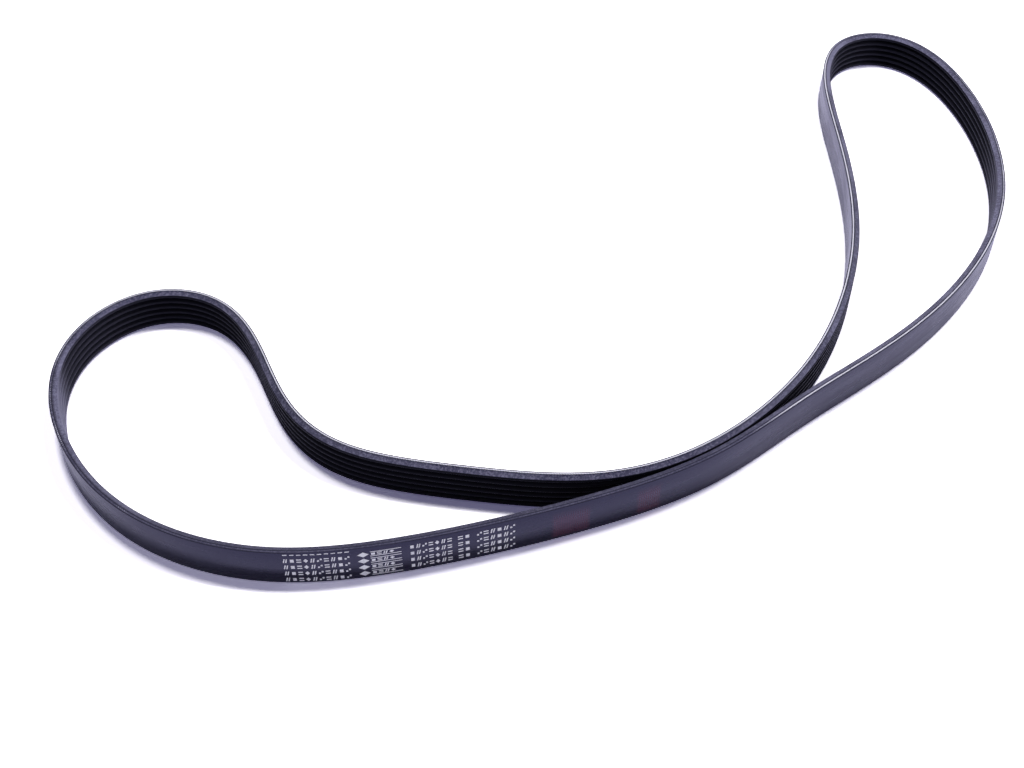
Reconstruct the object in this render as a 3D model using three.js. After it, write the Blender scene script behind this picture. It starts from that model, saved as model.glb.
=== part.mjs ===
// A ribbed serpentine belt: the long flat belt that drives the accessories at the front of an engine.
// It is vulcanised in one piece, with a smooth back, V ribs along its inner face and two cut edges.
// Millimetres, +Z up. The belt stands on one cut edge, in the loose loop that it springs into off the
// engine: a wide bulb at the left, a tight one at the right, and a neck where the strands almost meet.

import * as THREE from "three";
import { LoftGeometry } from "three/addons/geometries/LoftGeometry.js";

// Section of the belt: the standard profile with ribs 3.56 mm apart.
const RIB_COUNT = 6;
const RIB_PITCH = 3.56;
const RIB_HEIGHT = 2.3; // from the groove bottoms to the rib tips
const RIB_ANGLE = 40; // between the two flanks of one rib, in degrees
const RIB_TIP_RADIUS = 0.5;
const GROOVE_BOTTOM_WIDTH = 0.6;
const BODY_THICKNESS = 2.0; // from the back to the groove bottoms
const BACK_CORNER = 0.3; // small bevel where the back meets each cut edge

// Length of the line along the groove bottoms, which is what the belt is sold by.
const EFFECTIVE_LENGTH = 1545;

// How the loop lies, seen from above: vertices of a closed cubic B-spline along the back, clockwise.
const LEFT_BULB = [[-246, -91], [-237, -49], [-206, -24], [-168, -29], [-145, -60]];
const REVERSE_BEND = [[-130, -104], [-101, -132], [-45, -141]];
const FAR_NECK = [[19, -149], [75, -125], [126, -70]];
const RIGHT_WALL = [[154, 8], [156, 84], [151, 147]];
const RIGHT_BULB = [[164, 186], [197, 195], [226, 173], [243, 119], [243, 51], [215, -11]];
const RISING_STRAND = [[168, -61]];
const NEAR_NECK = [[114, -98], [70, -138], [10, -162]];
const NEAR_STRAND = [[-61, -183], [-128, -194], [-186, -177], [-225, -141]];
const NECK_GAP = 0.4; // between the rib tips of the two strands at their closest

// Steps of the loft along the loop: it turns and runs no further than this from one section to the next.
const TURN_STEP = 0.14; // radians
const STRAIGHT_STEP = 28;
const SAMPLES_PER_SPAN = 40;
const LAYING_PASSES = 6;

const THICKNESS = BODY_THICKNESS + RIB_HEIGHT;
const SPANS_PER_VERTEX = 4; // of a cubic B-spline: the spans that one vertex shapes

// Outline of the section as (depth below the back, height above the lower edge), once round from the
// upper corner of the back, down the ribs and up the back.
function beltSection() {
  const flank = THREE.MathUtils.degToRad(RIB_ANGLE / 2);
  const halfBase = (RIB_PITCH - GROOVE_BOTTOM_WIDTH) / 2;
  const halfTip = halfBase - RIB_HEIGHT * Math.tan(flank);
  const rounding = Math.min(RIB_TIP_RADIUS * Math.tan((Math.PI / 2 - flank) / 2), halfTip);
  const halfRib = [
    [BODY_THICKNESS, halfBase],
    [THICKNESS - rounding * Math.cos(flank), halfTip + rounding * Math.sin(flank)],
    [THICKNESS, halfTip - rounding],
  ];
  const width = RIB_COUNT * RIB_PITCH;
  const outline = [[0, width - BACK_CORNER], [BACK_CORNER, width], [BODY_THICKNESS, width]];
  for (let rib = 0; rib < RIB_COUNT; rib++) {
    const middle = width - (rib + 0.5) * RIB_PITCH;
    outline.push(...halfRib.map(([depth, side]) => [depth, middle + side]));
    outline.push(...halfRib.map(([depth, side]) => [depth, middle - side]).reverse());
  }
  outline.push([BODY_THICKNESS, 0], [BACK_CORNER, 0], [0, BACK_CORNER]);
  return outline.map(([depth, height]) => new THREE.Vector2(depth, height));
}

// Closed cubic B-spline over evenly spaced knots: each point blends four neighbouring vertices.
class ClosedSpline extends THREE.Curve {
  constructor(vertices) {
    super();
    this.vertices = vertices;
    this.arcLengthDivisions = vertices.length * SAMPLES_PER_SPAN;
  }

  getPoint(t, target = new THREE.Vector2()) {
    const count = this.vertices.length;
    const first = Math.floor(t * count);
    const f = t * count - first;
    const weights = [(1 - f) ** 3, 3 * f ** 3 - 6 * f ** 2 + 4, -3 * f ** 3 + 3 * f ** 2 + 3 * f + 1, f ** 3];
    target.set(0, 0);
    weights.forEach((weight, i) => {
      target.addScaledVector(this.vertices[(first + i) % count], weight / 6);
    });
    return target;
  }
}

// Points along the whole stretch of the spline that a group of neighbouring vertices shapes.
function samplesNear(vertices, group) {
  const curve = new ClosedSpline(vertices);
  const first = vertices.indexOf(group[0]) - SPANS_PER_VERTEX + 1;
  const spans = group.length + SPANS_PER_VERTEX - 1;
  return Array.from({ length: spans * SAMPLES_PER_SPAN + 1 }, (_, i) =>
    curve.getPoint((first + i / SAMPLES_PER_SPAN) / vertices.length),
  );
}

// The shortest way from one row of points to another, as a vector.
function shortestWay(from, to) {
  let best = new THREE.Vector2(Infinity, 0);
  for (const a of from) {
    for (const b of to) {
      if (a.distanceToSquared(b) < best.lengthSq()) best = b.clone().sub(a);
    }
  }
  return best;
}

// Scales the loop until the belt has its length, and moves the far strand's neck straight across until
// the strands pass at the neck gap. Each of the two disturbs the other a little, so they take turns.
function layLoop() {
  const group = (rows) => rows.map(([x, y]) => new THREE.Vector2(x, y));
  const farNeck = group(FAR_NECK);
  const nearNeck = group(NEAR_NECK);
  const vertices = [
    ...group(LEFT_BULB), ...group(REVERSE_BEND), ...farNeck, ...group(RIGHT_WALL),
    ...group(RIGHT_BULB), ...group(RISING_STRAND), ...nearNeck, ...group(NEAR_STRAND),
  ];
  // On a closed loop, a line a little inside the back is shorter by a full turn at that depth.
  const backLength = EFFECTIVE_LENGTH + 2 * Math.PI * BODY_THICKNESS;
  for (let pass = 0; pass < LAYING_PASSES; pass++) {
    const way = shortestWay(samplesNear(vertices, nearNeck), samplesNear(vertices, farNeck));
    const shift = way.clone().setLength(2 * THICKNESS + NECK_GAP - way.length());
    farNeck.forEach((vertex) => vertex.add(shift));
    const scale = backLength / new ClosedSpline(vertices).getLength();
    vertices.forEach((vertex) => vertex.multiplyScalar(scale));
  }
  return new ClosedSpline(vertices);
}

// Curve parameters of the loft's sections, close together where the belt bends and far apart where it
// runs straight. Each little step costs its length over the straight step plus its turn over the turn
// step, and the sections stand at equal shares of the whole cost.
function stationParameters(curve) {
  const count = curve.arcLengthDivisions;
  const parameters = Array.from({ length: count + 1 }, (_, i) => i / count);
  const points = parameters.map((t) => curve.getPoint(t));
  const tangents = parameters.map((t) => curve.getTangent(t));
  const cost = [0];
  for (let i = 1; i <= count; i++) {
    const run = points[i].distanceTo(points[i - 1]);
    const turn = Math.abs(tangents[i].cross(tangents[i - 1]));
    cost.push(cost[i - 1] + run / STRAIGHT_STEP + turn / TURN_STEP);
  }
  const stations = Math.ceil(cost[count]);
  const chosen = [];
  for (let station = 0, i = 1; station < stations; station++) {
    const wanted = (cost[count] * station) / stations;
    while (cost[i] < wanted) i++;
    const share = (wanted - cost[i - 1]) / (cost[i] - cost[i - 1]);
    chosen.push((i - 1 + share) / count);
  }
  return chosen;
}

// The section stands upright across the curve, its back on the curve and its ribs inside the loop.
function sectionAt(curve, t, outline) {
  const { x, y } = curve.getPoint(t);
  const ahead = curve.getTangent(t);
  return outline.map((p) => new THREE.Vector3(x + ahead.y * p.x, y - ahead.x * p.x, p.y));
}

function beltGeometry() {
  const curve = layLoop();
  const outline = beltSection();
  const sections = stationParameters(curve).map((t) => sectionAt(curve, t, outline));
  return new LoftGeometry([...sections, sections[0]]);
}

const rubber = new THREE.MeshStandardMaterial({ color: 0x34343e, roughness: 0.7, metalness: 0 });

function belt() {
  const mesh = new THREE.Mesh(beltGeometry(), rubber);
  mesh.name = "belt";
  // The origin is under the middle of the loop's box, on the surface that the belt stands on.
  const middle = new THREE.Box3().setFromObject(mesh).getCenter(new THREE.Vector3());
  mesh.position.set(-middle.x, -middle.y, 0);
  return mesh;
}

const part = new THREE.Group();
part.name = "serpentine_belt";
part.add(belt());

export default part;
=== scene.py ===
"""Serpentine belt in its loose loop: rubber body with ribs, edge cords and printed marks, on a pale floor."""

from __future__ import annotations

import logging
import math
from collections.abc import Mapping
from dataclasses import dataclass
from enum import Enum
from typing import Any

import bpy
import numpy as np
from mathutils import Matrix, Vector

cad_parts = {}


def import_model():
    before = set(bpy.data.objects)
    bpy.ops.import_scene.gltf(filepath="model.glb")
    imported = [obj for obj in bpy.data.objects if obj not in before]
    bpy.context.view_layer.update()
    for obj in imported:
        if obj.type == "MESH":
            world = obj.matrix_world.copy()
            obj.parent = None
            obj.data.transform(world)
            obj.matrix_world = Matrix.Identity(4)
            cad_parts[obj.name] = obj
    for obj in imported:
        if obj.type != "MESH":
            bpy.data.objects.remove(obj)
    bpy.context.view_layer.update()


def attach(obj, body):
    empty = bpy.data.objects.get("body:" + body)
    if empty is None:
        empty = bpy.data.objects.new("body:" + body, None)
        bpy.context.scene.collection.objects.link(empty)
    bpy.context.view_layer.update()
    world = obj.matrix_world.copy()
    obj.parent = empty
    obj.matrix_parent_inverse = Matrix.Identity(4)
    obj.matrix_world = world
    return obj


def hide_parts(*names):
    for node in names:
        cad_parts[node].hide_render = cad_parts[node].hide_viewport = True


MM = 0.001
BODY = "root"
SPLINE_DEGREE = 3
CREASE = math.radians(32)
WHITE = (1.0, 1.0, 1.0, 1.0)
BLACK = (0.0, 0.0, 0.0, 1.0)
Colour = tuple[float, float, float, float]
Span = tuple[float, float]
Pairs = tuple[tuple[float, float], ...]
Grid = np.ndarray

log = logging.getLogger("serpentine_belt")


# Shape


@dataclass(frozen=True)
class Profile:
    """Section of the belt in metres: depth runs inwards from the back, height up from the lower edge."""

    rib_count: int = 6
    rib_pitch: float = 3.56 * MM
    rib_height: float = 2.3 * MM
    rib_angle: float = math.radians(40)
    tip_radius: float = 0.5 * MM
    groove_width: float = 0.6 * MM
    groove_radius: float = 0.22 * MM
    body: float = 2.0 * MM
    back_corner: float = 0.3 * MM
    foot_corner: float = 0.1 * MM
    channel: Span = (0.50 * MM, 1.30 * MM)
    channel_depth: float = 0.06 * MM
    channel_slope: float = 0.06 * MM
    tip_points: int = 4
    fillet_points: int = 3
    corner_points: int = 4

    @property
    def width(self) -> float:
        """Width of the belt, from cut edge to cut edge."""
        return self.rib_count * self.rib_pitch

    @property
    def thickness(self) -> float:
        """Thickness from the back to the rib tips."""
        return self.body + self.rib_height

    def half_rib(self) -> Grid:
        """Half a rib from its groove to its tip.

        The groove floor runs into the flank on a hollow arc, and the flank into the flat tip on a round one.
        Both arcs turn through a right angle less the flank's lean, so their tangents are the radius times
        the tangent of half that turn.

        Returns:
            Rows of depth and distance from the rib's middle.
        """
        lean = self.rib_angle / 2
        turn = math.pi / 2 - lean
        half_base = (self.rib_pitch - self.groove_width) / 2
        half_tip = half_base - self.rib_height * math.tan(lean)
        hollow = np.linspace(0, turn, self.fillet_points)
        tip = np.linspace(turn, 0, self.tip_points)
        groove_middle = half_base + self.groove_radius * math.tan(turn / 2)
        tip_middle = half_tip - self.tip_radius * math.tan(turn / 2)
        depth = np.concatenate([
            self.body + self.groove_radius * (1 - np.cos(hollow)),
            self.thickness - self.tip_radius * (1 - np.cos(tip)),
        ])
        side = np.concatenate([
            groove_middle - self.groove_radius * np.sin(hollow),
            tip_middle + self.tip_radius * np.sin(tip),
        ])
        return np.column_stack([depth, side])

    def upper_edge(self) -> Grid:
        """Upper cut edge from the back to the first groove: round corner, shallow channel for the cord, foot.

        Returns:
            Rows of depth and height.
        """
        corner = np.linspace(0, math.pi / 2, self.corner_points)
        round_corner = np.column_stack([
            self.back_corner * (1 - np.cos(corner)),
            self.width - self.back_corner * (1 - np.sin(corner)),
        ])
        low = self.width - self.channel_depth
        start, end = self.channel
        rest = np.array([
            (start, self.width),
            (start + self.channel_slope, low),
            (end - self.channel_slope, low),
            (end, self.width),
            (self.body - self.foot_corner, self.width),
            (self.body, self.width - self.foot_corner),
        ])
        return np.vstack([round_corner, rest])

    def outline(self) -> Grid:
        """Closed outline, from the upper corner of the back over the ribs and up the back again.

        Returns:
            Rows of depth and height.
        """
        half = self.half_rib()
        rib = np.vstack([half, half[::-1] * (1, -1)])
        middles = self.width - (np.arange(self.rib_count) + 0.5) * self.rib_pitch
        ribs = rib[None] + np.stack([np.zeros_like(middles), middles], axis=1)[:, None]
        upper = self.upper_edge()
        lower = upper[::-1] * (1, -1) + (0, self.width)
        return np.vstack([upper, ribs.reshape(-1, 2), lower])


@dataclass(frozen=True)
class Stations:
    """Points along the back of the loop, evenly spaced, with the way inwards at each."""

    along: Grid
    point: Grid
    inward: Grid
    length: float

    def carry(self, depth: Grid, height: Grid) -> Grid:
        """Carry a section along the loop: each point is the station plus its depth inwards, at its height.

        Args:
            depth: Depths below the back, one per section point, or a row of them per station.
            height: Heights above the lower edge, likewise.

        Returns:
            Points by station and section point.
        """
        shape = (len(self.along), np.shape(depth)[-1])
        flat = self.point[:, None] + self.inward[:, None] * np.broadcast_to(depth, shape)[..., None]
        return np.concatenate([flat, np.broadcast_to(height, shape)[..., None]], axis=2)

    def place(self, along: Grid, depth: Grid, height: Grid) -> Grid:
        """Place points by their distance along the back, depth and height.

        Args:
            along: Distances along the back from the loop's start.
            depth: Depths below the back.
            height: Heights above the lower edge.

        Returns:
            The points, with the shape of the arguments and three coordinates.
        """
        point, inward = (
            np.stack([np.interp(along, self.along, rows[:, axis]) for axis in range(2)], axis=-1)
            for rows in (self.point, self.inward)
        )
        return np.concatenate([point + inward * depth[..., None], height[..., None]], axis=-1)


@dataclass(frozen=True)
class Loop:
    """The line of the back, seen from above: a closed cubic B-spline, clockwise, vertices in millimetres."""

    left_bulb: Pairs = ((-246, -91), (-237, -49), (-206, -24), (-168, -29), (-145, -60))
    reverse_bend: Pairs = ((-130, -104), (-101, -132), (-45, -141))
    far_neck: Pairs = ((19, -149), (75, -125), (126, -70))
    right_wall: Pairs = ((154, 8), (156, 84), (151, 147))
    right_bulb: Pairs = ((164, 186), (197, 195), (226, 173), (243, 119), (243, 51), (215, -11))
    rising_strand: Pairs = ((168, -61),)
    near_neck: Pairs = ((114, -98), (70, -138), (10, -162))
    near_strand: Pairs = ((-61, -183), (-128, -194), (-186, -177), (-225, -141))
    effective_length: float = 1545 * MM
    neck_gap: float = 0.4 * MM
    samples_per_span: int = 40
    fine_samples_per_span: int = 400
    laying_passes: int = 6

    @staticmethod
    def blend(vertices: Grid, spans: Grid) -> tuple[Grid, Grid]:
        """Points and directions of the spline, each a blend of four neighbouring vertices.

        With f the share of the span already run, the four weights are a sixth of the cube of 1 - f, of
        3f^3 - 6f^2 + 4, of -3f^3 + 3f^2 + 3f + 1 and of f^3; their slopes give the direction.

        Args:
            vertices: The spline's vertices.
            spans: Distances along the spline, counted in spans.

        Returns:
            The points and the unit directions of travel.
        """
        first = np.floor(spans).astype(int)
        f = spans - first
        middle = (3 * f**3 - 6 * f**2 + 4, -3 * f**3 + 3 * f**2 + 3 * f + 1)
        weights = np.stack([(1 - f) ** 3, *middle, f**3], axis=-1)
        slopes = np.stack([-((1 - f) ** 2), 3 * f**2 - 4 * f, -3 * f**2 + 2 * f + 1, f**2], axis=-1)
        near = vertices[(first[:, None] + np.arange(SPLINE_DEGREE + 1)) % len(vertices)]
        point = np.einsum("nk,nkc->nc", weights / 6, near)
        way = np.einsum("nk,nkc->nc", slopes, near)
        return point, way / np.linalg.norm(way, axis=1, keepdims=True)

    def stretch(self, vertices: Grid, first: int, count: int) -> Grid:
        """Points along the stretch of the spline that a few neighbouring vertices shape.

        Args:
            vertices: The spline's vertices.
            first: Index of the first of the neighbouring vertices.
            count: How many they are.

        Returns:
            The points.
        """
        spans = np.arange((count + SPLINE_DEGREE) * self.samples_per_span + 1) / self.samples_per_span
        return self.blend(vertices, first - SPLINE_DEGREE + spans)[0]

    def back_length(self, vertices: Grid) -> float:
        """Length of the closed spline, as the sum of short chords."""
        spans = np.arange(len(vertices) * self.samples_per_span) / self.samples_per_span
        point = self.blend(vertices, spans)[0]
        return float(np.linalg.norm(np.roll(point, -1, axis=0) - point, axis=1).sum())

    def laid(self, profile: Profile) -> Grid:
        """Vertices in metres once the loop has its length and the strands pass at the neck gap.

        The far neck moves straight across the gap and the whole loop is scaled, in turns. A line a little
        inside the back is shorter by a full turn at that depth, so the back is that much longer than the
        effective length.

        Args:
            profile: The belt's section.

        Returns:
            The vertices.
        """
        before = (*self.left_bulb, *self.reverse_bend)
        between = (*self.right_wall, *self.right_bulb, *self.rising_strand)
        vertices = MM * np.array(
            (*before, *self.far_neck, *between, *self.near_neck, *self.near_strand), dtype=float
        )
        far, near = len(before), len(before) + len(self.far_neck) + len(between)
        wanted = self.effective_length + 2 * math.pi * profile.body
        for _ in range(self.laying_passes):
            a = self.stretch(vertices, near, len(self.near_neck))
            b = self.stretch(vertices, far, len(self.far_neck))
            ways = b[None] - a[:, None]
            gaps = np.linalg.norm(ways, axis=2)
            closest = np.unravel_index(gaps.argmin(), gaps.shape)
            gap = gaps[closest]
            shift = ways[closest] / gap * (2 * profile.thickness + self.neck_gap - gap)
            vertices[far : far + len(self.far_neck)] += shift
            vertices *= wanted / self.back_length(vertices)
        return vertices

    def stations(self, profile: Profile, count: int) -> Stations:
        """Evenly spaced stations along the back, with the middle of the loop's box at the origin.

        Args:
            profile: The belt's section.
            count: How many stations.

        Returns:
            The stations.
        """
        vertices = self.laid(profile)
        fine = np.linspace(0, len(vertices), len(vertices) * self.fine_samples_per_span + 1)
        point = self.blend(vertices, fine)[0]
        run = np.concatenate([[0], np.cumsum(np.linalg.norm(np.diff(point, axis=0), axis=1))])
        middle = (point.min(axis=0) + point.max(axis=0)) / 2
        along = np.arange(count) / count * run[-1]
        at, way = self.blend(vertices, np.interp(along, run, fine))
        inward = np.stack([way[:, 1], -way[:, 0]], axis=1)
        return Stations(along, at - middle, inward, float(run[-1]))


class Surface:
    """Mesh objects that stand at the origin, unturned, with their place in their points."""

    @staticmethod
    def ring(name: str, points: Grid, along: Grid, length: float, section: Grid) -> bpy.types.Object:
        """Close a grid of points both ways into a tube, with two UV maps.

        The map lay holds the distance along the belt and the distance round the section, and the map
        section holds depth and height, all in metres. Both are kept per face corner, so that the last strip
        runs on to the full length.

        Args:
            name: Name of the object.
            points: Points by station and section point.
            along: Distance of each station along the belt.
            length: Length of the whole loop.
            section: Rows of depth and height of the section points.

        Returns:
            The object.
        """
        stations, around = points.shape[:2]
        i, j = (index.ravel() for index in np.mgrid[0:stations, 0:around])
        next_i, next_j = (i + 1) % stations, (j + 1) % around
        here, ahead = i * around, next_i * around
        corners = np.stack([here + j, here + next_j, ahead + next_j, ahead + j], axis=1)
        mesh = bpy.data.meshes.new(name)
        mesh.from_pydata(points.reshape(-1, 3), [], corners)
        steps = np.linalg.norm(np.roll(section, -1, axis=0) - section, axis=1)
        round_edge = np.concatenate([[0], np.cumsum(steps)])
        along_edge = np.concatenate([along, [length]])
        u = np.stack([along_edge[i], along_edge[i], along_edge[i + 1], along_edge[i + 1]], axis=1)
        v = np.stack([round_edge[j], round_edge[j + 1], round_edge[j + 1], round_edge[j]], axis=1)
        Surface.uv(mesh, "lay", np.stack([u, v], axis=2))
        Surface.uv(mesh, "section", section[np.stack([j, next_j, next_j, j], axis=1)])
        return Surface.add(name, mesh)

    @staticmethod
    def uv(mesh: bpy.types.Mesh, name: str, values: Grid) -> None:
        """Write a UV map from one pair of numbers per face corner."""
        mesh.uv_layers.new(name=name).data.foreach_set("uv", values.astype(np.float32).ravel())

    @staticmethod
    def number(mesh: bpy.types.Mesh, name: str, values: Grid) -> None:
        """Write one number per vertex as an attribute."""
        numbers = mesh.attributes.new(name, "FLOAT", "POINT")
        numbers.data.foreach_set("value", values.astype(np.float32).ravel())

    @staticmethod
    def add(name: str, mesh: bpy.types.Mesh) -> bpy.types.Object:
        """Put a mesh into the scene with smooth faces that stay sharp across a crease.

        Args:
            name: Name of the object.
            mesh: Its mesh.

        Returns:
            The object.
        """
        mesh.update(calc_edges=True)
        mesh.polygons.foreach_set("use_smooth", np.ones(len(mesh.polygons), dtype=bool))
        mesh.set_sharp_from_angle(angle=CREASE)
        piece = bpy.data.objects.new(name, mesh)
        bpy.context.scene.collection.objects.link(piece)
        return piece


# Finishes


class Value:
    """An output socket whose arithmetic adds Math nodes."""

    def __init__(self, graph: Graph, socket: bpy.types.NodeSocket) -> None:
        """Hold a socket of a graph."""
        self.graph = graph
        self.socket = socket

    def math(self, operation: str, *terms: Value | float) -> Value:
        """Add a Math node on the given terms."""
        return self.graph.add("ShaderNodeMath", {"operation": operation}, dict(enumerate(terms)))

    def __add__(self, other: Value | float) -> Value:
        """Sum."""
        return self.math("ADD", self, other)

    __radd__ = __add__

    def __mul__(self, other: Value | float) -> Value:
        """Product."""
        return self.math("MULTIPLY", self, other)

    __rmul__ = __mul__

    def __sub__(self, other: Value | float) -> Value:
        """Difference."""
        return self.math("SUBTRACT", self, other)

    def __rsub__(self, other: float) -> Value:
        """Difference from a number."""
        return self.math("SUBTRACT", other, self)

    def __truediv__(self, other: Value | float) -> Value:
        """Quotient."""
        return self.math("DIVIDE", self, other)

    def sine(self) -> Value:
        """Sine of the value in radians."""
        return self.math("SINE", self)

    def larger(self, other: Value | float) -> Value:
        """The larger of two values."""
        return self.math("MAXIMUM", self, other)

    def smaller(self, other: Value | float) -> Value:
        """The smaller of two values."""
        return self.math("MINIMUM", self, other)

    def step(self, low: float, high: float) -> Value:
        """Smooth step from 0 at the low value to 1 at the high one."""
        return self.graph.add(
            "ShaderNodeMapRange",
            {"interpolation_type": "SMOOTHSTEP"},
            {"Value": self, "From Min": low, "From Max": high},
        )

    def within(self, low: float, high: float, soft: float) -> Value:
        """1 between two values, falling to 0 over a soft margin outside them."""
        return self.step(low - soft, low) * (1 - self.step(high, high + soft))

    def sibling(self, name: str) -> Value:
        """Another output of the same node."""
        return Value(self.graph, self.socket.node.outputs[name])


class Graph:
    """The node tree of a material or a world, built from plain expressions."""

    def __init__(self, tree: bpy.types.NodeTree) -> None:
        """Start from an empty tree."""
        self.tree = tree
        tree.nodes.clear()

    def add(
        self,
        kind: str,
        settings: Mapping[str, Any],
        inputs: Mapping[str | int, Any],
        output: str | int = 0,
    ) -> Value | None:
        """Add a node.

        Args:
            kind: The node's type.
            settings: Its own settings, set before its sockets.
            inputs: Values or links of its input sockets, by name or number.
            output: The output that is wanted.

        Returns:
            The output, or nothing where the node has none.
        """
        node = self.tree.nodes.new(kind)
        for name, setting in settings.items():
            setattr(node, name, setting)
        for name, value in inputs.items():
            if isinstance(value, Value):
                self.tree.links.new(value.socket, node.inputs[name])
            else:
                node.inputs[name].default_value = value
        return Value(self, node.outputs[output]) if len(node.outputs) else None

    def mix(self, share: Value | float, a: Value | Colour, b: Value | Colour) -> Value:
        """Colour that turns from a to b with the share."""
        return self.add("ShaderNodeMix", {"data_type": "RGBA"}, {0: share, 6: a, 7: b}, 2)

    def place(self) -> Value:
        """Object coordinates."""
        return self.add("ShaderNodeTexCoord", {}, {}, "Object")

    def map(self, name: str) -> tuple[Value, Value]:
        """The two numbers of a UV map, in millimetres."""
        uv = self.add("ShaderNodeUVMap", {"uv_map": name}, {}, "UV")
        u = self.add("ShaderNodeSeparateXYZ", {}, {0: uv}, "X")
        return u / MM, u.sibling("Y") / MM

    def stretched(self, along: Value, across: Value, ratio: float) -> Value:
        """Vector for a noise that is drawn out along the belt by a ratio."""
        return self.add("ShaderNodeCombineXYZ", {}, {"X": along / ratio, "Y": across})

    def number(self, name: str) -> Value:
        """A vertex attribute of one number."""
        return self.add("ShaderNodeAttribute", {"attribute_name": name}, {}, "Fac")

    def bump(self, height: Value) -> Value:
        """Normal from a height in millimetres."""
        return self.add("ShaderNodeBump", {}, {"Strength": 1.0, "Distance": MM, "Height": height})

    def surface(
        self,
        colour: Value | Colour,
        roughness: Value | float,
        normal: Value,
        fixed: Mapping[str, Any] | None = None,
    ) -> None:
        """End the tree in a glossy surface.

        Args:
            colour: Base colour.
            roughness: Roughness.
            normal: Normal.
            fixed: Values of the shader's other sockets, the same all over.
        """
        shader = self.add(
            "ShaderNodeBsdfPrincipled",
            {},
            {"Base Color": colour, "Roughness": roughness, "Normal": normal, **(fixed or {})},
            "BSDF",
        )
        self.add("ShaderNodeOutputMaterial", {}, {"Surface": shader})


@dataclass(frozen=True)
class Noise:
    """Cloudy noise around a half, finer with the scale. With a range it is stepped from 0 to 1 over that."""

    scale: float
    detail: float = 2.0
    between: Span | None = None

    def over(self, where: Value) -> Value:
        """Noise over a vector."""
        inputs = {"Vector": where, "Scale": self.scale, "Detail": self.detail}
        cloud = where.graph.add("ShaderNodeTexNoise", {}, inputs, "Fac")
        return cloud.step(*self.between) if self.between else cloud


@dataclass(frozen=True)
class Stretch:
    """A stretch of a measure in millimetres, with a soft margin outside its ends, and its strength."""

    start: float
    end: float
    soft: float
    strength: float = 1.0

    def over(self, measure: Value) -> Value:
        """The strength within the stretch and 0 away from it."""
        return measure.within(self.start, self.end, self.soft) * self.strength


class Finish:
    """A named finish that can dress a piece. The lengths of every finish are in millimetres."""

    name: str

    def draw(self, graph: Graph) -> None:
        """Add the finish's nodes."""
        raise NotImplementedError

    def dress(self, piece: bpy.types.Object) -> None:
        """Make the material and give it to a piece."""
        material = bpy.data.materials.new(self.name)
        material.use_nodes = True
        self.draw(Graph(material.node_tree))
        piece.data.materials.append(material)


@dataclass(frozen=True)
class BackCloth(Finish):
    """Smooth back of the belt: fine impression of a woven cloth, dull smears and two faint red patches."""

    length: float
    name: str = "cloth-pressed back"
    plain: Colour = (0.0012, 0.0012, 0.0024, 1)
    smeared: Colour = (0.006, 0.0056, 0.010, 1)
    cloth_pitch: float = 0.55
    cloth_relief: float = 0.003
    grain: Noise = Noise(5200)
    grain_relief: float = 0.003
    grain_dulling: float = 0.02
    streaks: Noise = Noise(0.35, 3)
    streak_stretch: float = 14.0
    streak_share: float = 0.6
    clouds: Noise = Noise(45)
    smear_range: Span = (0.35, 0.7)
    smear_dulling: float = 0.16
    patch: Colour = (0.115, 0.023, 0.038, 1)
    patches: tuple[Stretch, ...] = (Stretch(1213.5, 1228.5, 2.2), Stretch(1179.0, 1188.0, 2.2))
    patch_foot: Span = (0.3, 2.5)
    patch_top: Span = (12.0, 20.0)
    patch_cover: float = 0.34
    hatch_pitch: float = 1.1
    hatch_cover: float = 0.14
    roughness: float = 0.21
    ior: float = 1.48
    tint: Colour = (0.56, 0.54, 1.0, 1)
    bloom: float = 0.03
    bloom_roughness: float = 0.4
    bloom_tint: Colour = (0.75, 0.73, 1.0, 1)

    def wave(self, measure: Value, pitch: float) -> Value:
        """Sine wave over a measure in millimetres. Its pitch is fitted so that it closes round the belt."""
        length = self.length / MM
        return (measure * (2 * math.pi * round(length / pitch) / length)).sine()

    def draw(self, graph: Graph) -> None:
        """Weave two waves into the cloth relief, draw smears out along the belt and hatch the red patches."""
        along, _ = graph.map("lay")
        _, height = graph.map("section")
        where = graph.place()
        cloth = self.wave(along, self.cloth_pitch) * self.wave(height, self.cloth_pitch)
        hatch = self.wave(along, self.hatch_pitch) + self.wave(height, self.hatch_pitch)
        streaks = self.streaks.over(graph.stretched(along, height, self.streak_stretch))
        clouds = self.clouds.over(where)
        grain = self.grain.over(where)
        smear = (streaks * self.streak_share + clouds * (1 - self.streak_share)).step(*self.smear_range)
        red = sum((patch.over(along) for patch in self.patches), start=0.0)
        red = red * (self.patch_cover + hatch * self.hatch_cover)
        red = red * height.step(*self.patch_foot) * (1 - height.step(*self.patch_top))
        colour = graph.mix(red, graph.mix(smear, self.plain, self.smeared), self.patch)
        roughness = self.roughness + smear * self.smear_dulling + grain * self.grain_dulling
        normal = graph.bump(cloth * self.cloth_relief + grain * self.grain_relief)
        fixed = {
            "IOR": self.ior,
            "Specular Tint": self.tint,
            "Sheen Weight": self.bloom,
            "Sheen Roughness": self.bloom_roughness,
            "Sheen Tint": self.bloom_tint,
        }
        graph.surface(colour, roughness, normal, fixed)


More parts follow.
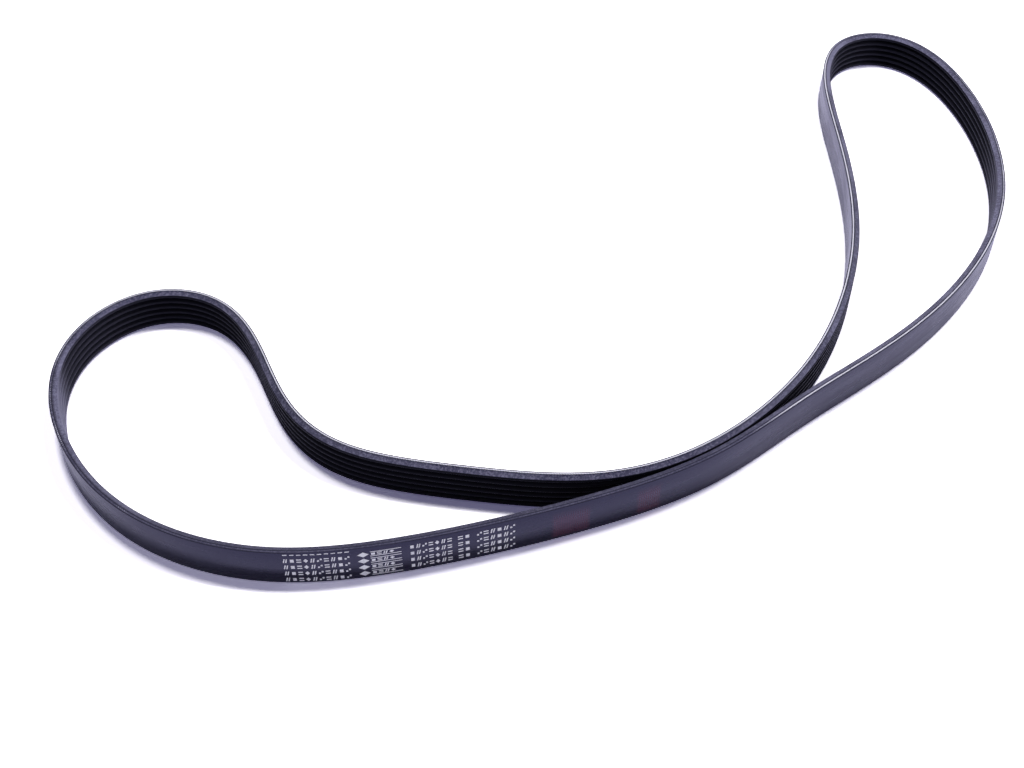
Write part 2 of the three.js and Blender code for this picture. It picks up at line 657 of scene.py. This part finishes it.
@dataclass(frozen=True)
class SawnEdge(Finish):
    """Cut edge of the belt: dull blue-grey rubber with specks of chopped fibre, with painted highlights and a
    painted reflection in places.
    """

    name: str = "sawn rubber edge"
    rubber: Colour = (0.032, 0.031, 0.056, 1)
    fibre: Colour = (0.225, 0.220, 0.310, 1)
    specks: Noise = Noise(2600, 3, (0.5, 0.68))
    speck_cover: float = 0.38
    speck_relief: float = 0.02
    chips: Noise = Noise(900, 3, (0.42, 0.66))
    chip_cover: float = 0.42
    chip_relief: float = 0.03
    chip_dulling: float = 0.15
    clouds: Noise = Noise(60, 3, (0.35, 0.65))
    cloud_cover: float = 0.16
    grain: Noise = Noise(5200)
    grain_relief: float = 0.02
    smooth: Stretch = Stretch(1150.0, 1440.0, 40.0, 0.45)
    # Painted highlights: paler over the right of the loop and on the right lobe's bend; then a painted
    # reflection on the rib flank near the left bulb.
    lit_side: Span = (0.05, 0.17)
    lit_side_amounts: tuple[float, float] = (0.16, 0.20)
    painted_glare: Stretch = Stretch(662.0, 700.0, 16.0, 0.45)
    flank_reflection: Stretch = Stretch(1440.0, 1515.0, 45.0)
    flank_depth: Span = (2.0, 2.8)
    flank_reflection_amounts: tuple[float, float] = (0.3, 0.3)
    burnt: Colour = (0.003, 0.003, 0.006, 1)
    burnt_lines: tuple[Stretch, ...] = (Stretch(0.1, 0.46, 0.15), Stretch(1.34, 1.7, 0.15))
    burnt_cover: float = 0.85
    roughness: float = 0.48
    specular: float = 0.22
    tint: Colour = (0.62, 0.60, 1.0, 1)

    def draw(self, graph: Graph) -> None:
        """Scatter specks and chips, paint highlights over the right of the loop and on the right lobe's bend,
        paint a reflection on the flank near the left bulb, and darken a line on each side of the cord.
        """
        along, _ = graph.map("lay")
        depth, _ = graph.map("section")
        where = graph.place()
        specks, chips = self.specks.over(where), self.chips.over(where)
        clouds, grain = self.clouds.over(where), self.grain.over(where)
        # Painted highlight: the edge is painted paler, in clouds, over the right of the loop, and paler still
        # on the bend of the right lobe.
        right = graph.add("ShaderNodeSeparateXYZ", {}, {0: where}, "X").step(*self.lit_side)
        painted_light = right * self.cloudy(clouds, self.lit_side_amounts) + self.painted_glare.over(along)
        # Painted reflection: the rib flank at the edge is painted paler, in clouds, near the left bulb.
        flank = self.flank_reflection.over(along) * depth.step(*self.flank_depth)
        painted_light = painted_light + flank * self.cloudy(clouds, self.flank_reflection_amounts)
        pale = specks * self.speck_cover + chips * self.chip_cover + clouds * self.cloud_cover
        pale = pale * (1 - self.smooth.over(along)) + painted_light
        colour = graph.mix(pale.smaller(1.0), self.rubber, self.fibre)
        burnt = sum((line.over(depth) for line in self.burnt_lines), start=0.0)
        colour = graph.mix(burnt.smaller(1.0) * self.burnt_cover, colour, self.burnt)
        relief = specks * self.speck_relief + chips * self.chip_relief + grain * self.grain_relief
        fixed = {"Specular IOR Level": self.specular, "Specular Tint": self.tint}
        graph.surface(colour, self.roughness + chips * self.chip_dulling, graph.bump(relief), fixed)

    @staticmethod
    def cloudy(clouds: Value, amounts: tuple[float, float]) -> Value:
        """The first amount everywhere and the second on top of it where the clouds are."""
        return amounts[0] + clouds * amounts[1]


@dataclass(frozen=True)
class GroundRib(Finish):
    """Ground black ribs: near black in the grooves, paler on the tips, with dust and a painted sheen at the
    tight bends.
    """

    profile: Profile
    name: str = "ground ribs"
    groove: Colour = (0.0025, 0.0025, 0.005, 1)
    tip: Colour = (0.005, 0.005, 0.009, 1)
    crest_below: Span = (0.5, 0.02)
    crest_cover: float = 0.45
    marks: Noise = Noise(6.0, 3)
    mark_stretch: float = 9.0
    mark_cover: float = 0.4
    mark_relief: float = 0.02
    grain: Noise = Noise(4200)
    grain_cover: float = 0.12
    grain_relief: float = 0.02
    grain_dulling: float = 0.15
    dust_and_sheen: Colour = (0.300, 0.295, 0.400, 1)
    # Dust and painted sheen: the ribs are painted pale where the bends are seen at a grazing angle.
    dusty_sheen_start: Span = (1440.0, 1520.0)
    dusty_sheen_end: Span = (0.0, 50.0)
    dusty_sheen_cover: float = 0.10
    dust_and_sheen_stretches: tuple[Stretch, ...] = (
        Stretch(1490.0, 1508.0, 28.0, 0.75),
        Stretch(690.0, 705.0, 35.0, 0.10),
        Stretch(905.0, 960.0, 65.0, 0.32),
    )
    dust_and_sheen_cover: float = 0.75
    dust_and_sheen_streaks: float = 0.5
    roughness: float = 0.50
    specular: float = 0.08
    tint: Colour = (0.72, 0.70, 1.0, 1)
    bloom: float = 0.45
    bloom_roughness: float = 0.25

    def draw(self, graph: Graph) -> None:
        """Pale the tips by depth, draw fine grinding marks along the ribs and paint dust and a sheen over the
        bends.
        """
        along, _ = graph.map("lay")
        depth, height = graph.map("section")
        top = self.profile.thickness / MM
        crest = depth.step(*(top - below for below in self.crest_below))
        marks = self.marks.over(graph.stretched(along, height, self.mark_stretch))
        grain = self.grain.over(graph.place())
        pale = crest * (self.crest_cover + marks * self.mark_cover) + grain * self.grain_cover
        colour = graph.mix(pale, self.groove, self.tip)
        # Dust and painted sheen: pale ribs round the seam at the left bulb and over three stretches of bend.
        dusty_sheen = along.step(*self.dusty_sheen_start) + (1 - along.step(*self.dusty_sheen_end))
        dust_and_sheen_share = sum((stretch.over(along) for stretch in self.dust_and_sheen_stretches), start=dusty_sheen * self.dusty_sheen_cover)
        colour = graph.mix(dust_and_sheen_share * (self.dust_and_sheen_cover + marks * self.dust_and_sheen_streaks), colour, self.dust_and_sheen)
        normal = graph.bump(grain * self.grain_relief + marks * self.mark_relief)
        fixed = {
            "Specular IOR Level": self.specular,
            "Specular Tint": self.tint,
            "Sheen Weight": self.bloom,
            "Sheen Roughness": self.bloom_roughness,
            "Sheen Tint": self.tint,
        }
        graph.surface(colour, self.roughness + grain * self.grain_dulling, normal, fixed)


@dataclass(frozen=True)
class CutCord(Finish):
    """Twisted polyester cord cut open along the edge: near white where it shows, soiled where it sinks."""

    name: str = "cut tension cord"
    clean: Colour = (0.80, 0.80, 0.86, 1)
    soiled: Colour = (0.34, 0.34, 0.40, 1)
    dirt: Noise = Noise(160)
    open_share: float = 0.75
    dirt_share: float = 0.5
    hollow: Colour = (0.20, 0.20, 0.25, 1)
    hollow_cover: float = 0.75
    bare_cover: float = 0.45
    fibres: Noise = Noise(6000)
    fibre_relief: float = 0.02
    fibre_dulling: float = 0.2
    roughness: float = 0.7

    def draw(self, graph: Graph) -> None:
        """Darken the cord in the hollows between its plies, most where it hardly shows, and soil it where it
        hardly shows.
        """
        bare, ply = graph.number("bare"), graph.number("ply")
        where = graph.place()
        fibres, dirt = self.fibres.over(where), self.dirt.over(where)
        colour = graph.mix(bare * (self.open_share + dirt * self.dirt_share), self.soiled, self.clean)
        colour = graph.mix((1 - ply) * (self.hollow_cover - bare * self.bare_cover), colour, self.hollow)
        normal = graph.bump(fibres * self.fibre_relief)
        graph.surface(colour, self.roughness + fibres * self.fibre_dulling, normal)


@dataclass(frozen=True)
class Ink(Finish):
    """Thin white ink, worn in places."""

    name: str = "worn white ink"
    full: Colour = (0.94, 0.94, 0.97, 1)
    thin: Colour = (0.55, 0.55, 0.62, 1)
    specks: Noise = Noise(1400, 3, (0.42, 0.72))
    speck_wear: float = 0.5
    clouds: Noise = Noise(140, 2, (0.5, 0.75))
    cloud_wear: float = 0.4
    roughness: float = 0.55
    wear_dulling: float = 0.2
    wear_depth: float = 0.01

    def draw(self, graph: Graph) -> None:
        """Thin the ink in specks and clouds."""
        where = graph.place()
        wear = self.specks.over(where) * self.speck_wear + self.clouds.over(where) * self.cloud_wear
        colour = graph.mix(wear, self.full, self.thin)
        graph.surface(colour, self.roughness + wear * self.wear_dulling, graph.bump(wear * -self.wear_depth))


# Pieces


@dataclass
class BeltBody:
    """The rubber of the belt, in the place of its CAD solid."""

    loop: Loop
    profile: Profile
    station_count: int = 900
    back_depth: float = 0.2 * MM
    side_height: float = 1.0 * MM

    def zones(self, section: Grid) -> Grid:
        """Number of each strip's finish: 0 on the back, 1 on the cut edges and their flanks, 2 on the ribs.

        Args:
            section: Rows of depth and height of the section points.

        Returns:
            One number per strip between neighbouring section points.
        """
        depth, height = ((section + np.roll(section, -1, axis=0)) / 2).T
        side = np.abs(height - self.profile.width / 2) > self.profile.width / 2 - self.side_height
        return np.where(depth < self.back_depth, 0, np.where(side, 1, 2)).astype(np.int32)

    def build(self) -> bpy.types.Object:
        """Carry the outline round the loop and dress it.

        Returns:
            The piece.
        """
        stations = self.loop.stations(self.profile, self.station_count)
        section = self.profile.outline()
        points = stations.carry(section[:, 0], section[:, 1])
        piece = Surface.ring("belt_body", points, stations.along, stations.length, section)
        for finish in (BackCloth(stations.length), SawnEdge(), GroundRib(self.profile)):
            finish.dress(piece)
        piece.data.polygons.foreach_set("material_index", np.tile(self.zones(section), len(stations.along)))
        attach(piece, BODY)
        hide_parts("belt")
        return piece


class Edge(Enum):
    """The two cut edges."""

    UPPER = "upper"
    LOWER = "lower"


@dataclass
class EdgeCord:
    """The tension cord that the cut lays open along an edge: a flat twisted strand in the edge's channel."""

    loop: Loop
    profile: Profile
    edge: Edge
    station_count: int = 5200
    ring_points: int = 10
    half_width: float = 0.40 * MM
    half_height: float = 0.30 * MM
    ply_pitch: float = 1.2 * MM
    ply_relief: float = 0.035 * MM
    ply_slant: float = 1.6
    sunk: float = 0.07 * MM
    waver: float = 0.10
    waver_reach: float = 1.4
    waver_waves: Pairs = ((9, 0.4), (23, 2.1), (57, 0.0))
    shown: Pairs = (
        (0.000, 0.55), (0.025, 0.85), (0.050, 1.0), (0.680, 1.0), (0.705, 0.15), (0.750, 0.15),
        (0.790, 0.45), (0.880, 0.45), (0.940, 1.0), (1.100, 1.0), (1.135, 0.06), (1.430, 0.08), (1.480, 0.35),
    )

    def bareness(self, stations: Stations) -> Grid:
        """How far the cord shows: 1 where it lies open, less and wavering where the rubber covers it.

        The level runs straight between the listed places. The waver is the sum of three sine waves round
        the loop, and it fades out where the cord lies wholly open.

        Args:
            stations: Stations along the loop.

        Returns:
            One number per station, from 0 to 1.
        """
        along, share = np.array(self.shown).T
        level = np.interp(stations.along, along, share, period=stations.length)
        turn = 2 * np.pi * stations.along / stations.length
        waver = self.waver * sum(np.sin(waves * turn + shift) for waves, shift in self.waver_waves)
        return np.clip(level + waver * np.minimum(self.waver_reach * (1 - level), 1), 0, 1)

    def build(self) -> bpy.types.Object:
        """Carry a flattened ring round the loop.

        With p an angle round the ring, its width runs with the root of the cosine of p and its height with
        the root of the sine, each with its sign. The top of the ring is lowered by the ply relief, a wave
        that runs slantwise over the strand, and by the sunk depth where the cord hardly shows.

        Returns:
            The piece.
        """
        stations = self.loop.stations(self.profile, self.station_count)
        angle = 2 * np.pi * np.arange(self.ring_points) / self.ring_points
        across = np.sign(np.cos(angle)) * np.sqrt(np.abs(np.cos(angle)))
        up = np.sign(np.sin(angle)) * np.sqrt(np.abs(np.sin(angle)))
        depth = sum(self.profile.channel) / 2 - self.half_width * across
        bare = self.bareness(stations)
        plies = round(stations.length / self.ply_pitch)
        phase = 2 * np.pi * plies * stations.along[:, None] / stations.length + self.ply_slant * across
        ply = 0.5 + 0.5 * np.cos(phase)
        drop = (1 - ply) * self.ply_relief + (1 - bare[:, None]) * self.sunk
        height = self.profile.width - self.half_height * (1 - up) - drop * (up > 0)
        section = np.column_stack([depth, self.profile.width - self.half_height * (1 - up)])
        if self.edge is Edge.LOWER:
            depth, section = depth[::-1], section[::-1]
            height, ply = self.profile.width - height[:, ::-1], ply[:, ::-1]
        name = f"cord_{self.edge.value}"
        points = stations.carry(depth, height)
        piece = Surface.ring(name, points, stations.along, stations.length, section)
        Surface.number(piece.data, "bare", np.repeat(bare, self.ring_points))
        Surface.number(piece.data, "ply", ply)
        CutCord().dress(piece)
        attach(piece, BODY)
        return piece


def bar(left: float, low: float, right: float, high: float, slant: float = 0.0) -> Pairs:
    """Corners of a bar whose top stands sideways of its foot by the slant."""
    return ((left, low), (right, low), (right + slant, high), (left + slant, high))


class Motif(Enum):
    """Simple printed shapes: each a row of four-cornered figures in a cell one wide and one high."""

    HATCH = (bar(0.0, 0.0, 0.26, 1.0, slant=0.26), bar(0.48, 0.0, 0.74, 1.0, slant=0.26))
    STACK = (bar(0.0, 0.06, 1.0, 0.32), bar(0.0, 0.66, 1.0, 0.92))
    BLOCK = (bar(0.12, 0.12, 0.88, 0.88),)
    DOTS = (bar(0.0, 0.1, 0.4, 0.5), bar(0.6, 0.5, 1.0, 0.9))
    LOZENGE = (((0.5, 0.0), (1.0, 0.5), (0.5, 1.0), (0.0, 0.5)),)
    RULES = (bar(0.0, 0.0, 1.0, 0.12), bar(0.0, 0.88, 1.0, 1.0))
    DASH = (bar(0.0, 0.0, 1.0, 1.0),)


@dataclass(frozen=True)
class MarkGroup:
    """Marks side by side in one group, repeated in rows, in millimetres.

    The left end is a distance along the belt. That distance shrinks towards the right here, so the columns
    step back from it.
    """

    left: float
    pitch: float
    size: tuple[float, float]
    motifs: tuple[Motif, ...]
    rows: tuple[float, ...]

    def figures(self) -> Grid:
        """Corners of every figure.

        Returns:
            Distances along the belt and heights, by figure and corner.
        """
        width, height = self.size
        cells = [
            (np.array(motif.value) * (-width, height) + (self.left - column * self.pitch, row - height / 2))
            for row in self.rows
            for column, motif in enumerate(self.motifs)
        ]
        return np.concatenate(cells)


@dataclass
class BackMarks:
    """Rows of plain printed marks on the back: bars, blocks, dots and lozenges, as thin slabs of ink."""

    loop: Loop
    profile: Profile
    station_count: int = 6000
    proud: float = 0.03 * MM
    sunk: float = 0.04 * MM

    @staticmethod
    def layout() -> tuple[MarkGroup, ...]:
        """Sizes and places of the groups."""
        m = Motif
        first = (m.HATCH, m.BLOCK, m.STACK, m.LOZENGE, m.HATCH, m.DOTS, m.STACK, m.HATCH, m.BLOCK, m.DOTS)
        third = (m.BLOCK, m.HATCH, m.DOTS, m.STACK, m.LOZENGE, m.HATCH, m.STACK)
        last = (m.DOTS, m.STACK, m.HATCH, m.BLOCK, m.HATCH, m.DOTS)
        low, middle, high = ((2.4, 6.9, 11.4, 15.9), (3.2, 7.7, 12.2, 16.7), (3.6, 8.1, 12.6, 17.1))
        return (
            MarkGroup(1348.8, 2.95, (2.1, 2.7), first, low),
            MarkGroup(1348.5, 2.95, (1.9, 0.6), (m.DASH,) * 10, (20.1,)),
            MarkGroup(1316.8, 1.0, (5.0, 3.4), (m.LOZENGE,), middle),
            MarkGroup(1311.0, 2.7, (2.1, 1.9), (m.BLOCK, m.STACK, m.HATCH, m.LOZENGE), middle),
            MarkGroup(1311.2, 2.7, (2.72, 3.4), (m.RULES,) * 5, middle),
            MarkGroup(1294.0, 2.75, (2.0, 2.7), third, high),
            MarkGroup(1272.8, 3.1, (2.2, 2.7), (m.STACK, m.BLOCK), high),
            MarkGroup(1264.3, 3.0, (2.2, 2.7), last, high),
        )

    def build(self) -> bpy.types.Object:
        """Raise each figure to a slab between a depth just over the back and one in the rubber.

        A slab's corners 0 to 3 are its face and 4 to 7 lie under them, and all six sides point outwards.

        Returns:
            The piece.
        """
        stations = self.loop.stations(self.profile, self.station_count)
        figures = np.concatenate([group.figures() for group in self.layout()]) * MM
        count = len(figures)
        faces = [
            stations.place(figures[..., 0], np.full((count, 4), depth), figures[..., 1])
            for depth in (-self.proud, self.sunk)
        ]
        points = np.concatenate(faces, axis=1).reshape(-1, 3)
        slab = np.array([(0, 1, 2, 3), (4, 7, 6, 5), (0, 4, 5, 1), (1, 5, 6, 2), (2, 6, 7, 3), (3, 7, 4, 0)])
        corners = (np.arange(count)[:, None, None] * 8 + slab[None]).reshape(-1, 4)
        mesh = bpy.data.meshes.new("back_marks")
        mesh.from_pydata(points, [], corners)
        piece = Surface.add("back_marks", mesh)
        Ink().dress(piece)
        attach(piece, BODY)
        return piece


# Studio


@dataclass(frozen=True)
class Lamp:
    """A round soft lamp by the belt: its place, its width across, its power and the point it faces."""

    name: str
    place: tuple[float, float, float]
    size: float
    power: float
    target: tuple[float, float, float] = (0.0, 0.0, 0.0)
    colour: tuple[float, float, float] = (0.94, 0.93, 1.0)

    def hang(self) -> None:
        """Hang the lamp, turned towards its target."""
        data = bpy.data.lights.new(self.name, "AREA")
        data.shape = "DISK"
        data.size = self.size
        data.energy = self.power
        data.color = self.colour
        lamp = bpy.data.objects.new(self.name, data)
        lamp.location = self.place
        lamp.rotation_euler = (Vector(self.place) - Vector(self.target)).to_track_quat("Z", "Y").to_euler()
        bpy.context.scene.collection.objects.link(lamp)


@dataclass
class Studio:
    """Pale floor, soft lamps round the belt, and a camera at the photograph's viewing angle."""

    floor_size: float = 8.0
    floor_gap: float = 0.05 * MM
    floor_colour: Colour = (0.95, 0.95, 0.95, 1)
    floor_bleach: Colour = (1.12, 1.10, 0.99, 1)
    gloss_bleach: Colour = (0.40, 0.38, 0.66, 1)
    floor_glow: float = 0.13
    glow_colour: Colour = (0.50, 0.47, 1.0, 1)
    floor_fade: Span = (0.55, 1.1)
    fill_colour: Colour = (0.76, 0.74, 1.0, 1)
    fill_strength: float = 0.07
    lamps: tuple[Lamp, ...] = (
        Lamp("lamp_left", (-0.27, 0.216, 1.5), 0.25, 9.6),
        Lamp("lamp_right", (0.64, 0.425, 2.5), 0.34, 28.0),
        Lamp("lamp_front", (0.0, -1.6, 0.42), 0.8, 4.2, colour=(0.80, 0.79, 1.0)),
        Lamp("lamp_lobe", (0.20, 0.06, 0.45), 0.30, 0.4, (0.20, 0.06, 0.0)),
    )
    target: tuple[float, float] = (-24.24 * MM, -72.54 * MM)
    distance: float = 752.42 * MM
    elevation: float = math.radians(47.502)
    lens: float = 54.284
    sensor: float = 36.0
    clip_start: float = 10 * MM

    @staticmethod
    def seen(graph: Graph) -> Value:
        """1 for rays from the camera, off a glossy surface or through glass."""
        camera = graph.add("ShaderNodeLightPath", {}, {}, "Is Camera Ray")
        return camera.larger(camera.sibling("Is Glossy Ray")).larger(camera.sibling("Is Transmission Ray"))

    def floor(self) -> None:
        """Lay the floor just under the belt: bleached where it is seen, with its shadows, and white far out.

        The matt floor lights the belt as a pale one does. A second matt layer is added for the rays that
        show the floor and a faint glow for the camera's, and past the fade they all meet plain white.
        """
        half, z = self.floor_size / 2, -self.floor_gap
        mesh = bpy.data.meshes.new("floor")
        corners = [(-half, -half, z), (half, -half, z), (half, half, z), (-half, half, z)]
        mesh.from_pydata(corners, [], [(0, 1, 2, 3)])
        plane = Surface.add("floor", mesh)
        material = bpy.data.materials.new("pale floor")
        material.use_nodes = True
        graph = Graph(material.node_tree)
        camera = graph.add("ShaderNodeLightPath", {}, {}, "Is Camera Ray")
        seen = self.seen(graph)
        far = graph.add("ShaderNodeVectorMath", {"operation": "LENGTH"}, {0: graph.place()}, "Value")
        bleach = graph.mix(seen, BLACK, graph.mix(camera, self.gloss_bleach, self.floor_bleach))
        matt = graph.add("ShaderNodeBsdfDiffuse", {}, {"Color": self.floor_colour})
        bleached = graph.add("ShaderNodeBsdfDiffuse", {}, {"Color": bleach})
        strength = camera * self.floor_glow
        glow = graph.add("ShaderNodeEmission", {}, {"Color": self.glow_colour, "Strength": strength})
        shader = graph.add("ShaderNodeAddShader", {}, {0: matt, 1: bleached})
        shader = graph.add("ShaderNodeAddShader", {}, {0: shader, 1: glow})
        white = graph.add("ShaderNodeEmission", {}, {"Color": WHITE, "Strength": 1.0})
        fade = far.step(*self.floor_fade) * seen
        shader = graph.add("ShaderNodeMixShader", {}, {0: fade, 1: shader, 2: white})
        graph.add("ShaderNodeOutputMaterial", {}, {"Surface": shader})
        mesh.materials.append(material)

    def world(self) -> None:
        """Fill light from all round, white where it is seen."""
        world = bpy.data.worlds.new("studio")
        world.use_nodes = True
        bpy.context.scene.world = world
        graph = Graph(world.node_tree)
        look = {"Color": self.fill_colour, "Strength": self.fill_strength}
        fill = graph.add("ShaderNodeBackground", {}, look)
        white = graph.add("ShaderNodeBackground", {}, {"Color": WHITE, "Strength": 1.0})
        shader = graph.add("ShaderNodeMixShader", {}, {0: self.seen(graph), 1: fill, 2: white})
        graph.add("ShaderNodeOutputWorld", {}, {"Surface": shader})

    def camera(self) -> None:
        """Set up the camera, level, looking down at the target on the floor."""
        data = bpy.data.cameras.new("camera")
        data.sensor_width = self.sensor
        data.sensor_fit = "HORIZONTAL"
        data.lens = self.lens
        data.clip_start = self.clip_start
        camera = bpy.data.objects.new("camera", data)
        x, y = self.target
        back, up = self.distance * math.cos(self.elevation), self.distance * math.sin(self.elevation)
        camera.location = (x, y - back, up)
        camera.rotation_euler = (math.pi / 2 - self.elevation, 0, 0)
        bpy.context.scene.collection.objects.link(camera)
        bpy.context.scene.camera = camera

    def build(self) -> None:
        """Set up the whole studio and the plain view transform."""
        self.camera()
        self.floor()
        self.world()
        for lamp in self.lamps:
            lamp.hang()
        bpy.context.scene.view_settings.view_transform = "Standard"


def main() -> None:
    """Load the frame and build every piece."""
    logging.basicConfig(level=logging.INFO, format="%(message)s")
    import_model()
    loop, profile = Loop(), Profile()
    Studio().build()
    builders = (
        BeltBody(loop, profile),
        EdgeCord(loop, profile, Edge.UPPER),
        EdgeCord(loop, profile, Edge.LOWER),
        BackMarks(loop, profile),
    )
    for builder in builders:
        piece = builder.build()
        log.info("%s: %d vertices, %d faces", piece.name, len(piece.data.vertices), len(piece.data.polygons))


if __name__ == "__main__":
    main()
